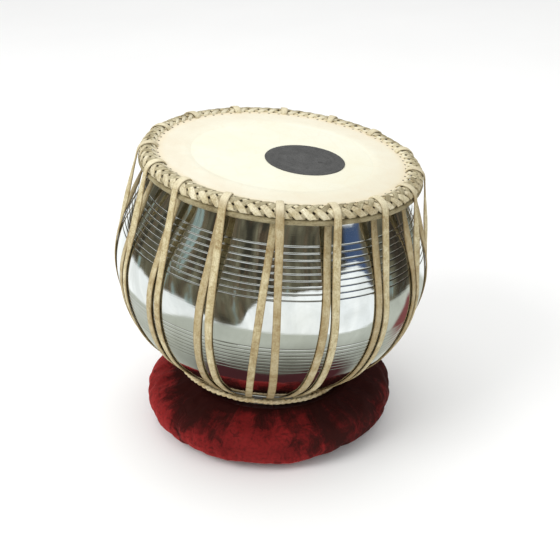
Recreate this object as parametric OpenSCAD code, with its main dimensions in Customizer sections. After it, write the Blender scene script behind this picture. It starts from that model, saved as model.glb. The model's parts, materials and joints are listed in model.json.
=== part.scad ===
// Large hand drum of a tabla pair: a plated metal bowl with a laced leather head,
// standing in a soft ring cushion. Millimetres, +Z up, floor at z = 0.
// The head faces up, leaning towards +X; the front is -Y.

/* [Stance] */
// Lean of the drum in its cushion, towards +X (degrees)
lean = 6.5; // [0:0.5:10]
// Height of the centre of the ball-shaped lower bowl above the floor
ball_h = 151.5; // [151:0.1:154]
// Sideways shift of the drum from the cushion's centre
ball_shift = 3.8; // [0:0.2:5]

/* [Bowl] */
// Outer radius of the bowl at its rim
rim_r = 106.4; // [105.9:0.1:106.5]
// Outer radius of the bowl at the belly
belly_r = 136.3; // [134:0.1:137]
// Depth of the belly below the head
belly_d = 96; // [92:0.5:98]
// Full depth of the bowl below the head
bowl_d = 221; // [218:0.5:222]
// Wall thickness of the bowl
wall = 1.6; // [1:0.1:2.5]
// Number of engraved lines above the belly
upper_lines = 9; // [0:1:9]
// Spacing of the upper engraved lines
upper_pitch = 4.8; // [3:0.1:5]
// Number of engraved lines below the belly
lower_lines = 8; // [0:1:9]
// Spacing of the lower engraved lines
lower_pitch = 3.7; // [2.5:0.1:4]
// Half width of an engraved line
line_w = 0.45; // [0.2:0.05:0.6]

/* [Head] */
// Thickness of the playing skin
skin_t = 0.75; // [0.5:0.05:0.75]
// Inner radius of the outer skin ring
kinar_r = 77; // [70:1:95]
// Inner radius of the hidden inner skin ring
bharti_r = 92; // [85:1:98]
// Radius of the black tuning patch
patch_r = 34; // [28:0.5:38]
// Offset of the patch from the head's centre, along X
patch_x = 19; // [0:0.5:24]
// Offset of the patch from the head's centre, along Y
patch_y = -7; // [-10:0.5:10]
// Thickness of the patch at its middle
patch_t = 1.5; // [0.8:0.1:2.5]

/* [Plaited hoop] */
// Number of crossings in the plait
crossings = 72; // [48:4:72]
// Width of one plaited strip
strip_w = 5.4; // [3:0.1:6]
// Radius of the rope inside the plait
core_r = 2.7; // [2.2:0.1:2.8]

/* [Lacing] */
// Width of the lacing thong
thong_w = 6.5; // [5:0.1:6.8]
// Thickness of the lacing thong
thong_t = 1.5; // [1:0.1:1.5]
// Direction of the first lace house around the head (degrees)
first_house = 268; // [266:1:270]
// Step between the houses on the front half (degrees); the rest are spread evenly over the back
front_step = 21.2; // [20.8:0.1:22.5]
// Radius of the bottom ring's cord
ring_cord = 2.2; // [1.8:0.1:2.3]

/* [Cushion] */
// Radius of the cushion's centre line
cushion_r = 79.4; // [78:0.2:84]
// Half width of the cushion's section
cushion_w = 36.5; // [34:0.5:38]
// Height of the cushion
cushion_h = 46; // [42:0.5:46]
// Thickness of the velvet cover
cover_t = 1.6; // [1:0.1:2]
// Radius of the coiled core inside the cushion
coil_r = 11; // [8:0.5:12]
// Number of closing stitches
stitches = 36; // [24:2:40]

/* [Hidden] */

smooth = 180;               // facets of the large round shapes
ball_d = 99.1;              // depth of the ball's centre below the head
cushion_x = -4.15;          // puts the whole drum and cushion's middle over the origin
ball_x = cushion_x + ball_shift;

// Curve helpers. A curve is four cubic control points [radius, height], head at height 0;
// t runs along it from 0 to 1, and out is a distance off it, outwards.
function point_at(curve, t) =
    pow(1 - t, 3) * curve[0] + 3 * pow(1 - t, 2) * t * curve[1]
    + 3 * (1 - t) * t * t * curve[2] + pow(t, 3) * curve[3];
function along(curve, t) =
    let (slope = 3 * pow(1 - t, 2) * (curve[1] - curve[0])
        + 6 * (1 - t) * t * (curve[2] - curve[1]) + 3 * t * t * (curve[3] - curve[2]))
    slope / norm(slope);
function outward(curve, t) = let (dir = along(curve, t)) [-dir[1], dir[0]];
function off(curve, t, out) = point_at(curve, t) + outward(curve, t) * out;
function run(curve, from, to, steps, out) =
    [for (i = [0:steps]) off(curve, from + (to - from) * i / steps, out)];
// Closed outline: along the inner line, then back along the outer one.
function band(inner, outer) =
    concat(inner, [for (i = [len(outer) - 1:-1:0]) outer[i]]);

// Puts the drum's own frame (head centre at the origin, axis +Z) into the leaning stance.
module drum_frame()
    translate([ball_x, 0, ball_h]) rotate([0, lean, 0]) translate([0, 0, ball_d]) children();

// ---- Bowl ----
// Outer line: rim to belly, belly to shoulder of the ball, ball to bottom.
belly = [belly_r, -belly_d];
shoulder = [105.4, -169.6];
neck = [[rim_r, -9], [rim_r, -20], [belly_r, -58], belly];
flank = [belly, [belly_r, -126], [121, -155], shoulder];
ball = [shoulder, [81.5, -193.5], [46, -bowl_d], [0, -bowl_d]];
bead_r = 2.2;               // rolled rim
bead_h = -3.7;
upper_start = 29.8;         // depth of the first engraved line above the belly
lower_start = 110;          // and of the first one below it

function bowl_line(out) = concat(run(neck, 0, 1, 12, out), run(flank, 1 / 10, 1, 9, out),
    run(ball, 1 / 16, 1, 15, out));
module bowl() color([0.78, 0.79, 0.8]) drum_frame()
    difference() {
        rotate_extrude($fn = smooth) polygon(concat(
            [for (a = [0:15:240]) [rim_r - bead_r + bead_r * cos(a), bead_h + bead_r * sin(a)]],
            band(bowl_line(-wall), bowl_line(0))));
        for (i = [0:1:upper_lines - 1]) groove(upper_start + i * upper_pitch);
        for (i = [0:1:lower_lines - 1]) groove(lower_start + i * lower_pitch);
    }

// Finds t at a depth on a falling curve, by halving the interval.
function t_at_depth(curve, depth, from = 0, to = 1, steps = 24) =
    let (mid = (from + to) / 2)
    steps == 0 ? mid
    : -point_at(curve, mid)[1] < depth ? t_at_depth(curve, depth, mid, to, steps - 1)
    : t_at_depth(curve, depth, from, mid, steps - 1);
// One engraved line: a small diamond ring cut into the outside.
module groove(depth) {
    curve = depth < belly_d ? neck : flank;
    centre = point_at(curve, t_at_depth(curve, depth));
    rotate_extrude($fn = smooth)
        polygon([for (side = [[-1, 0], [0, -1], [1, 0], [0, 1]]) centre + line_w * side]);
}

// ---- Head ----
head_gap = 0.1;             // between stacked skins
skin_ring_t = 0.55;
skirt_h = -8.5;             // lower edge of the skins
skin_bevel = 1.5;           // at the turn over the rim

// A skin: a thin disc or ring that turns down over the rim.
module skin(inner_r, top, thick, skirt_r) {
    inner_bevel = skin_bevel + thick * 0.4;
    rotate_extrude($fn = smooth) polygon([
        [inner_r, top - thick], [inner_r, top],
        [skirt_r - skin_bevel, top], [skirt_r, top - skin_bevel],
        [skirt_r, skirt_h], [skirt_r - thick, skirt_h],
        [skirt_r - thick, top - inner_bevel], [skirt_r - inner_bevel, top - thick]]);
}
module inner_skin_ring() color([0.86, 0.8, 0.66]) drum_frame()
    skin(bharti_r, top = -skin_t - head_gap, thick = skin_ring_t, skirt_r = rim_r + 0.85);
module playing_skin() color([0.98, 0.96, 0.88]) drum_frame()
    skin(0, top = 0, thick = skin_t, skirt_r = rim_r + 1.7);
module outer_skin_ring() color([0.96, 0.92, 0.83]) drum_frame()
    skin(kinar_r, top = skin_ring_t + head_gap, thick = skin_ring_t, skirt_r = rim_r + 2.4);

// The black patch: a low mound, just clear of the skin. Points are [radius, height].
module tuning_patch() color([0.2, 0.2, 0.2]) drum_frame() translate([patch_x, patch_y, 0.05])
    rotate_extrude($fn = 120) polygon([
        [0, 0], [patch_r, 0], [patch_r, 0.35], [patch_r - 1.2, 0.6],
        [patch_r * 0.72, patch_t * 0.72], [patch_r * 0.4, patch_t * 0.93], [0, patch_t]]);

// ---- Plaited hoop ----
// Section: over the top to the outer side, then round under it.
hoop_side = [120.1, -2.5];
hoop_top = [[106.2, 0.95], [106.4, 3.9], [117.5, 5.0], hoop_side];
hoop_under = [hoop_side, [120.8, -4.0], [120.8, -5.6], [116.5, -5.6]];
hoop_inside = [[109.1, -5.6], [109.1, 0.95]];
hoop_c = [114.2, -1.3];     // centre the section is scaled about
strip_slant = 40;
strip_sweep = 18;           // turn that holds one whole strip (degrees)

function hoop_line(scaling) =
    [for (q = concat(run(hoop_top, 0, 1, 6, 0), run(hoop_under, 1 / 4, 1, 3, 0), hoop_inside))
        hoop_c + (q - hoop_c) * scaling];

module hoop_core_rope() color([0.62, 0.52, 0.36]) drum_frame()
    rotate_extrude($fn = smooth) translate(hoop_c + [-0.3, -0.1]) circle(r = core_r, $fn = 32);

// A layer of slanted strips around the rope, each cut from between two scaled sections.
// The phase turns the layer, in crossings.
module plait(phase, inner, outer, slant)
    for (i = [0:1:crossings - 1]) rotate([0, 0, first_house + (i + phase) * 360 / crossings])
        intersection() {
            rotate([0, 0, -strip_sweep / 2]) rotate_extrude(angle = strip_sweep, $fn = smooth)
                difference() {
                    polygon(hoop_line(outer));
                    polygon(hoop_line(inner));
                }
            translate([hoop_c[0], 0, hoop_c[1]]) rotate([slant, 0, 0])
                cube([40, strip_w, 60], center = true);
        }
module hoop_plait_outer_strips() color([0.86, 0.8, 0.64]) drum_frame()
    plait(phase = 0.5, inner = 0.86, outer = 0.975, slant = strip_slant);
module hoop_plait_inner_strips() color([0.7, 0.6, 0.42]) drum_frame()
    plait(phase = 0, inner = 0.72, outer = 0.845, slant = -strip_slant);
// An oval strand below the plait.
module hoop_lower_strand() color([0.66, 0.57, 0.4]) drum_frame()
    rotate_extrude($fn = smooth)
        polygon([for (a = [0:15:345]) [116.4 + 4.7 * cos(a), -8.1 + 2.3 * sin(a)]]);

// ---- Lacing ----
houses = 16;
near_houses = 4;            // houses at the closer step, on each side of the first
gap = 0.2;                  // thong to bowl
thong_out = gap + thong_t;
ring_at = 0.36;             // t of the bottom ring on the ball
ball_len = 118.7;           // rough length of the ball curve
hook_at = ring_at + (ring_cord + 1.0) / ball_len; // t of the bights
ring_c = off(ball, ring_at, thong_out + 0.4 + ring_cord);
leg_pivot = 100;            // depth about which a leg is slanted
first_lift = 0.4;           // extra height over the hoop at the first house
bight_inset = 4.1;          // house to end of bight (degrees)

// Thong side lines. The over line lies on the hoop and drops to the belly; the under line
// comes out below the hoop. Both follow the bowl down behind the bottom ring.
// lift is an extra height over the hoop.
function down_line(out) = concat(run(flank, 0.08, 1, 9, out),
    run(ball, 0.06, hook_at + 0.006, 7, out));
function over_line(out, lift) = concat([hoop_top[0] + [-0.9 - out * 0.6, 0.17 + lift * 0.3]],
    run(hoop_top, 0.1, 1, 8, out + lift), run(hoop_under, 0.15, 0.3, 1, out + lift),
    run(neck, 0.87, 1, 3, out), down_line(out));
function under_line(out) = concat([[112.2 + out * 0.93, -11.4 - out * 0.1]],
    run(neck, 0.68, 1, 6, out), down_line(out));

module leg(outline, turn, slant)
    rotate([0, 0, turn]) translate([0, 0, -leg_pivot]) rotate([slant, 0, 0])
        translate([0, 0, leg_pivot]) rotate([90, 0, 0])
            linear_extrude(height = thong_w, center = true) polygon(outline);
// The two legs at the first house stand further apart and slant more.
module over_leg(house) {
    first = house == first_house;
    lift = first ? first_lift : 0;
    leg(band(over_line(gap, lift), over_line(thong_out, lift)),
        turn = house + (first ? 2.96 : 1.5), slant = first ? 3.52 : 1.75);
}
module under_leg(house) {
    first = house == first_house + 360;
    leg(band(under_line(gap), under_line(thong_out)),
        turn = house - (first ? 3.47 : 2.6), slant = first ? -2.26 : -1.2);
}

// The bight under the bottom ring, between two directions.
module bight(from, to) {
    foot = off(ball, hook_at, gap);
    out = outward(ball, hook_at);
    half = along(ball, hook_at) * 0.7;
    rotate([0, 0, from]) rotate_extrude(angle = to - from, $fn = smooth)
        polygon([foot - half, foot - half + out * 5.4, foot + half + out * 4.8, foot + half]);
}

// Direction of house i. The houses on the front half stand a little closer together.
function house_az(i) =
    i <= near_houses ? first_house + i * front_step
    : i >= houses - near_houses ? first_house + 360 - (houses - i) * front_step
    : first_house + near_houses * front_step
        + (i - near_houses) * (360 - 2 * near_houses * front_step) / (houses - 2 * near_houses);

// Run i: the over leg of house i, the bight, and the under leg of house i + 1.
module lace_run(i) {
    start = house_az(i);
    end = house_az(i + 1);
    color([0.8, 0.73, 0.56]) drum_frame() union() {
        over_leg(start);
        under_leg(end);
        bight(start + bight_inset, end - bight_inset);
    }
}
// A round knot with a short flat tail, between houses 8 and 9.
module lace_end_knot() color([0.74, 0.66, 0.48]) drum_frame()
    rotate([0, 0, (house_az(8) + house_az(9)) / 2]) {
        knot_r = 3.2;
        knot = off(ball, 0.3, gap + 3.4);
        translate([knot[0], 0, knot[1]]) sphere(r = knot_r, $fn = 32);
        rotate([90, 0, 0]) linear_extrude(height = 5, center = true)
            polygon(band(run(ball, 0.2, 0.3, 3, gap + 0.1), run(ball, 0.2, 0.3, 3, gap + 1.5)));
    }
module bottom_ring() color([0.84, 0.78, 0.62]) drum_frame()
    rotate_extrude($fn = smooth) translate(ring_c) circle(r = ring_cord, $fn = 32);

// ---- Cushion ----
seat_r = 131.2;             // radius of the seat pressed into the cushion
mid_h = 21;                 // height of the widest part
lower_r = 24;               // half height of the lower oval, cut off by the floor
coil_h = 18;
layer_gap = 0.1;            // around the wadding
stitch_r = 0.45;
stitch_len = 4;

// Section, flat where it stands on the floor; inset shrinks it evenly.
function cushion_line(inset) =
    let (low = lower_r - inset,
        high = cushion_h - mid_h - inset,
        half_w = cushion_w - inset,
        floor_a = asin((mid_h - inset) / low))
    [for (i = [0:36]) let (a = -floor_a + (180 + 2 * floor_a) * i / 36)
        [cushion_r + half_w * cos(a),
            max(inset, mid_h + (a < 0 || a > 180 ? low : high) * sin(a))]];
module cushion_solid(inset)
    difference() {
        translate([cushion_x, 0, 0]) rotate_extrude($fn = smooth) polygon(cushion_line(inset));
        translate([ball_x, 0, ball_h]) sphere(r = seat_r + inset, $fn = smooth);
    }
module coil(radius)
    translate([cushion_x, 0, 0]) rotate_extrude($fn = smooth)
        translate([cushion_r, coil_h]) circle(r = radius, $fn = 48);
module cushion_core_coil() color([0.72, 0.6, 0.4]) coil(coil_r);
module cushion_wadding() color([0.9, 0.88, 0.82])
    difference() {
        cushion_solid(cover_t + layer_gap);
        coil(coil_r + layer_gap);
    }
module cushion_cover() color([0.45, 0.06, 0.08])
    difference() {
        cushion_solid(0);
        cushion_solid(cover_t);
    }
// Stitches around the cushion's hole.
module cushion_closing_stitches() color([0.3, 0.03, 0.05]) translate([cushion_x, 0, 0])
    for (i = [0:1:stitches - 1]) rotate([0, 0, i * 360 / stitches])
        translate([cushion_r - cushion_w - stitch_r - 0.2, 0, mid_h]) rotate([90, 0, 0])
            cylinder(r = stitch_r, h = stitch_len, center = true, $fn = 24);

bowl();
inner_skin_ring();
playing_skin();
outer_skin_ring();
tuning_patch();
hoop_core_rope();
hoop_plait_outer_strips();
hoop_plait_inner_strips();
hoop_lower_strand();
lace_run(0);  // lace_run_01
lace_run(1);  // lace_run_02
lace_run(2);  // lace_run_03
lace_run(3);  // lace_run_04
lace_run(4);  // lace_run_05
lace_run(5);  // lace_run_06
lace_run(6);  // lace_run_07
lace_run(7);  // lace_run_08
lace_run(8);  // lace_run_09
lace_run(9);  // lace_run_10
lace_run(10);  // lace_run_11
lace_run(11);  // lace_run_12
lace_run(12);  // lace_run_13
lace_run(13);  // lace_run_14
lace_run(14);  // lace_run_15
lace_run(15);  // lace_run_16
lace_end_knot();
bottom_ring();
cushion_core_coil();
cushion_wadding();
cushion_cover();
cushion_closing_stitches();
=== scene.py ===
# A laced bowl drum: a plated metal bowl with a goatskin head, a black paste patch off the
# head's centre, a plaited hoop and rawhide thongs, seated at a tilt in a velvet ring cushion.
# The world is in metres, +Z up, floor at z = 0, and the camera looks from the front, -Y.
# Drum parts are drawn in drum millimetres: head centre at the origin, +Z out of the head,
# profiles as [radius, height]. Cushion parts are drawn in world millimetres.
import json
import math

import bpy
import numpy as np
from mathutils import Matrix, Vector


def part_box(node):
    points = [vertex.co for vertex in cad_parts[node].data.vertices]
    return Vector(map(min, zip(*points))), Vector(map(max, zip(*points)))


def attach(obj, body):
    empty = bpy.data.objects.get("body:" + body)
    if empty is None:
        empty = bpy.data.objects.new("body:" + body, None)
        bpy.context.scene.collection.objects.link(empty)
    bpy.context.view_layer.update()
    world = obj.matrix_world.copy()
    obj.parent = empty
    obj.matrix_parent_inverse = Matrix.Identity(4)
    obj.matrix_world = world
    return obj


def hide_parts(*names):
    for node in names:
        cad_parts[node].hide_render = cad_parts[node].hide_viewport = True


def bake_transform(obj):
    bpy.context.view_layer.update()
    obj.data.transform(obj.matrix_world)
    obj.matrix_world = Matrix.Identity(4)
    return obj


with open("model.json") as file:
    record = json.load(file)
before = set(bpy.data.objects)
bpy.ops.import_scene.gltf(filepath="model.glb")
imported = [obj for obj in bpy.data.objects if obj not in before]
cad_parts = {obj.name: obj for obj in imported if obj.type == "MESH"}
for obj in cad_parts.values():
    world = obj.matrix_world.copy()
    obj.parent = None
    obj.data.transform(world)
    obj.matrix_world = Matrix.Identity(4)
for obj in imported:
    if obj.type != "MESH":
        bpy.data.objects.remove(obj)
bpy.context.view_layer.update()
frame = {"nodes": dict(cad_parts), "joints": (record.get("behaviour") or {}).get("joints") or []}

MM = 0.001
TURN = 2 * math.pi

# ---------------------------------------------------------------- driving sizes, millimetres
# Bezier control points [radius, height] of the bowl, from the rim down to the bottom
NECK = [[106.4, -9], [106.4, -20], [136.3, -58], [136.3, -96]]
FLANK = [[136.3, -96], [136.3, -126], [121, -155], [105.4, -169.6]]
BALL = [[105.4, -169.6], [81.5, -193.5], [46, -221], [0, -221]]
# the hoop's section, from its inner edge over the top and down the outside
HOOP_TOP = [[106.2, 0.95], [106.4, 3.9], [117.5, 5.0], [120.1, -2.5]]
HOOP_SIDE = [[120.1, -2.5], [120.8, -4.0], [120.8, -5.6], [116.5, -5.6]]
HOOP_MIDDLE = np.array([114.2, -1.3])

FIRST_AZIMUTH = 268.0             # degrees; the lacing and the plait start at the front
STRIPS = 72                       # in each family of the plait
STRIP_PITCH = 360 / STRIPS
LACES = 16
FRONT_LACES = 4                   # closer steps on each side of the front
FRONT_STEP = 21.2                 # degrees
BACK_STEP = (360 - 2 * FRONT_LACES * FRONT_STEP) / (LACES - 2 * FRONT_LACES)
THONG_GAP = 0.2                   # between bowl and thong
THONG_THICK = 1.5
THONG_LIFT = THONG_GAP + THONG_THICK / 2
RING_AT = 0.36                    # the bottom ring's place, as a share of BALL
HOOK_AT = RING_AT + 3.2 / 118.7   # 3.2 mm further on, the curve being about 118.7 mm long
SKIRT_END = -8.5                  # lower edge of both skins
PATCH_CENTRE = np.array([19.0, -7.0])
PATCH_RADIUS = 34.0

# ---------------------------------------------------------------- vectors and the drum's frame


def unit(vectors, least=0.0):
    """Vectors scaled to length 1; least guards against a zero length."""
    return vectors / np.maximum(np.linalg.norm(vectors, axis=-1, keepdims=True), least)


def polar(radius, angle, height):
    """Points from cylindrical coordinates, which may broadcast."""
    x, y = radius * np.cos(angle), radius * np.sin(angle)
    return np.stack(np.broadcast_arrays(x, y, height), -1)


joints = {joint["name"]: joint for joint in frame["joints"]}
TILT_JOINT = np.array(joints["drum_tilt"]["pos_m"], float)
HEAD_ABOVE_JOINT = 99.1
head_axis = unit(-np.array(joints["head_press"]["axis"], float))
side_axis = unit(np.cross([0.0, 1.0, 0.0], head_axis))
DRUM_AXES = np.stack([side_axis, np.cross(head_axis, side_axis), head_axis])


def drum_to_world(points):
    """Drum millimetres to world metres."""
    points = np.asarray(points, float) + np.array([0, 0, HEAD_ABOVE_JOINT])
    return points @ DRUM_AXES * MM + TILT_JOINT


# ---------------------------------------------------------------- curves and noise


def bezier(curve, t):
    a, b, c, d = np.asarray(curve, float)
    t = np.asarray(t, float)[..., None]
    return (1 - t) ** 3 * a + 3 * (1 - t) ** 2 * t * b + 3 * (1 - t) * t * t * c + t ** 3 * d


def bezier_slope(curve, t):
    a, b, c, d = np.asarray(curve, float)
    t = np.asarray(t, float)[..., None]
    return 3 * (1 - t) ** 2 * (b - a) + 6 * (1 - t) * t * (c - b) + 3 * t * t * (d - c)


def left_normal(slope):
    """Unit normal left of a [radius, height] direction: outward on the curves above."""
    return unit(np.stack([-slope[..., 1], slope[..., 0]], -1))


def offset(curve, t, out):
    return bezier(curve, t) + left_normal(bezier_slope(curve, t)) * out


def offset_run(curve, start, end, steps, out):
    return offset(curve, np.linspace(start, end, steps + 1), out)


def resample(points, step):
    """Even spacing along a polyline. Returns the points and their distance along it."""
    lengths = np.linalg.norm(np.diff(points, axis=0), axis=1)
    along = np.concatenate([[0], np.cumsum(lengths)])
    even = np.linspace(0, along[-1], max(2, int(round(along[-1] / step)) + 1))
    columns = [np.interp(even, along, points[:, i]) for i in range(points.shape[1])]
    return np.stack(columns, -1), even


def smooth_noise(along, feature, seed):
    """Two octaves of value noise with the given feature length."""
    total = np.zeros_like(along, float)
    for octave in range(2):
        generator = np.random.default_rng(seed * 97 + octave)
        count = int(np.ceil((along.max() - along.min()) / feature)) + 4
        values = generator.uniform(-1, 1, count)
        place = (along - along.min()) / feature
        cell = np.floor(place).astype(int)
        part = place - cell
        part = part * part * (3 - 2 * part)
        total += 0.5 ** octave * (values[cell] * (1 - part) + values[cell + 1] * part)
        feature *= 0.5
    return total


def ring_noise(angle, waves, seed, power):
    """Smooth noise that closes over a full turn; each wave count weighs 1 / count ** power."""
    generator = np.random.default_rng(seed)
    total = np.zeros_like(angle, float)
    for count in waves:
        for wave in (np.cos, np.sin):
            total += generator.normal() * wave(count * angle) / count ** power
    return total


def signed_power(values, power):
    return np.sign(values) * np.abs(values) ** power


# ---------------------------------------------------------------- meshes
NO_TRIS = np.zeros((0, 3), int)


def set_points(mesh, points):
    mesh.vertices.foreach_set("co", points.astype(np.float32).ravel())


def points_in_mm(mesh):
    flat = np.zeros(len(mesh.vertices) * 3)
    mesh.vertices.foreach_get("co", flat)
    return flat.reshape(-1, 3) / MM


def set_attributes(mesh, values):
    """Point attributes: a row of 3 becomes a vector, a single number a float."""
    for name, value in values.items():
        value = np.asarray(value, np.float32)
        kind, field = ("FLOAT_VECTOR", "vector") if value.ndim == 2 else ("FLOAT", "value")
        mesh.attributes.new(name, kind, "POINT").data.foreach_set(field, value.ravel())


def shade_smooth(mesh):
    mesh.polygons.foreach_set("use_smooth", np.full(len(mesh.polygons), True))


def build(name, points, quads, tris, attributes=None):
    """A smooth mesh object from arrays in metres, its faces turned outward."""
    halves = np.concatenate([quads[:, [0, 1, 2]], quads[:, [0, 2, 3]], tris])
    a, b, c = (points[halves[:, i]] for i in range(3))
    if np.einsum("ij,ij->i", a - points.mean(0), np.cross(b - a, c - a)).sum() < 0:
        quads, tris = quads[:, ::-1], tris[:, ::-1]
    mesh = bpy.data.meshes.new(name)
    mesh.vertices.add(len(points))
    set_points(mesh, points)
    corners = np.concatenate([quads.ravel(), tris.ravel()]).astype(np.int32)
    mesh.loops.add(len(corners))
    mesh.loops.foreach_set("vertex_index", corners)
    quad_starts = np.arange(len(quads)) * 4
    tri_starts = len(quads) * 4 + np.arange(len(tris)) * 3
    starts = np.concatenate([quad_starts, tri_starts]).astype(np.int32)
    mesh.polygons.add(len(starts))
    mesh.polygons.foreach_set("loop_start", starts)
    mesh.update(calc_edges=True)
    mesh.validate()
    shade_smooth(mesh)
    set_attributes(mesh, attributes or {})
    mesh.update()
    piece = bpy.data.objects.new(name, mesh)
    bpy.context.scene.collection.objects.link(piece)
    return piece


def finish(piece, material, body, node):
    """Gives a piece its material and body, and puts it in place of a CAD node."""
    piece.data.materials.append(material)
    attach(piece, body)
    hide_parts(node)


def grid_quads(rows, columns, wrap_rows=False):
    """Quads of a row-major grid whose columns close into a loop."""
    row, column = np.meshgrid(np.arange(rows if wrap_rows else rows - 1),
                              np.arange(columns), indexing="ij")
    here, below = row * columns, (row + 1) % rows * columns
    ahead = (column + 1) % columns
    return np.stack([here + column, here + ahead, below + ahead, below + column],
                    -1).reshape(-1, 4)


def end_fans(rows, columns):
    """Closes a grid's first and last rows onto the two points that follow the grid."""
    here = np.arange(columns)
    ahead = (here + 1) % columns
    last = (rows - 1) * columns
    pole = np.full(columns, rows * columns)
    return np.concatenate([np.stack([pole, ahead, here], -1),
                           np.stack([pole + 1, last + here, last + ahead], -1)])


def lathe(profile, sides, closed=False):
    """Spins [radius, height] points. An open profile must start and end on the axis.

    Returns points, quads, tris and the angle of each point.
    """
    profile = np.asarray(profile, float)
    body = profile if closed else profile[1:-1]
    angle = np.arange(sides) * TURN / sides
    points = polar(body[:, None, 0], angle, body[:, None, 1]).reshape(-1, 3)
    angles = np.tile(angle, len(body))
    quads = grid_quads(len(body), sides, closed)
    if closed:
        return points, quads, NO_TRIS, angles
    poles = [[0, 0, profile[0, 1]], [0, 0, profile[-1, 1]]]
    return (np.concatenate([points, poles]), quads, end_fans(len(body), sides),
            np.append(angles, [0, 0]))


class Parts:
    """Collects several swept shapes, in millimetres, into one mesh.

    The strip attribute holds each point's place on its strip: along, across, face.
    """

    def __init__(self):
        self.points, self.quads, self.tris, self.strips, self.tones = [], [], [], [], []
        self.count = 0

    def add(self, points, quads, tris, strip, tone):
        self.points.append(points)
        self.quads.append(quads + self.count)
        self.tris.append(tris + self.count)
        self.strips.append(strip)
        self.tones.append(np.full(len(points), tone))
        self.count += len(points)

    def ribbon(self, path, normal, half_width, half_thick, sides, power, tone,
               crown=0.0, twist=0.0, shift=0.0):
        """Sweeps a rounded rectangle along path with its flat side facing normal.

        power squares the section's corners, crown lifts its edges, twist turns it in
        radians and shift moves the strip attribute's start.
        """
        rows = len(path)
        tangent = unit(np.gradient(path, axis=0))
        lean = np.einsum("ij,ij->i", normal, tangent)[:, None]
        face = unit(normal - lean * tangent)
        width = np.cross(tangent, face)
        twist = np.reshape(twist, (-1, 1))
        cos, sin = np.cos(twist), np.sin(twist)
        face, width = face * cos + width * sin, width * cos - face * sin
        angle = np.arange(sides) * TURN / sides + math.pi / sides
        across = signed_power(np.cos(angle), 2 / power)
        through = signed_power(np.sin(angle), 2 / power)

        def per_row(value):
            return np.broadcast_to(value, (rows,))[:, None, None]

        across_column, through_column = across[None, :, None], through[None, :, None]
        points = (path[:, None] + width[:, None] * (across_column * per_row(half_width))
                  + face[:, None] * (through_column * per_row(half_thick)
                                     + across_column ** 2 * per_row(crown)))
        points = np.concatenate([points.reshape(-1, 3), path[[0, -1]]])
        lengths = np.linalg.norm(np.diff(path, axis=0), axis=1)
        along = np.concatenate([[0], np.cumsum(lengths)])
        strip = np.stack([np.append(np.repeat(along, sides), [along[0], along[-1]]) + shift,
                          np.append(np.tile(across, rows), [0, 0]),
                          np.append(np.tile(through, rows), [0, 0])], -1)
        self.add(points, grid_quads(rows, sides), end_fans(rows, sides), strip, tone)

    def make(self, name, place=drum_to_world):
        points = np.concatenate(self.points)
        return build(name, place(points), np.concatenate(self.quads),
                     np.concatenate(self.tris),
                     {"strip": np.concatenate(self.strips),
                      "tone": np.concatenate(self.tones), "loc": points * MM})


def twisted_cord(name, angle, centre_r, centre_z, twists, swing, radii, sides, wind_radius,
                 across, tone):
    """A closed cord round the drum. Each entry of radii is one ply.

    swing is the distance of a ply from the cord's centre, twists its turns round it.
    """
    parts = Parts()
    around = np.arange(sides) * TURN / sides
    for ply, radius in enumerate(radii):
        turn = angle * twists + ply * TURN / len(radii)
        ply_r = (centre_r + swing * np.cos(turn))[:, None]
        ply_z = (centre_z + swing * np.sin(turn))[:, None]
        girth = np.asarray(radius)[..., None]
        points = polar(ply_r + girth * np.cos(around), angle[:, None],
                       ply_z + girth * np.sin(around))
        strip = np.stack([np.repeat(angle * wind_radius, sides),
                          np.tile(np.cos(around) * across, len(angle)),
                          np.tile(np.sin(around), len(angle))], -1)
        parts.add(points.reshape(-1, 3), grid_quads(len(angle), sides, True), NO_TRIS,
                  strip, tone)
    return parts.make(name)


# ---------------------------------------------------------------- shader helpers
# Meshes carry loc, their place in metres before it is moved into the world, and tone.


def srgb(*channels):
    """Linear colour from 0-255 sRGB channels."""
    def linear(c):
        return c / 12.92 if c <= 0.04045 else ((c + 0.055) / 1.055) ** 2.4
    return (*[linear(c / 255) for c in channels], 1.0)


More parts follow.
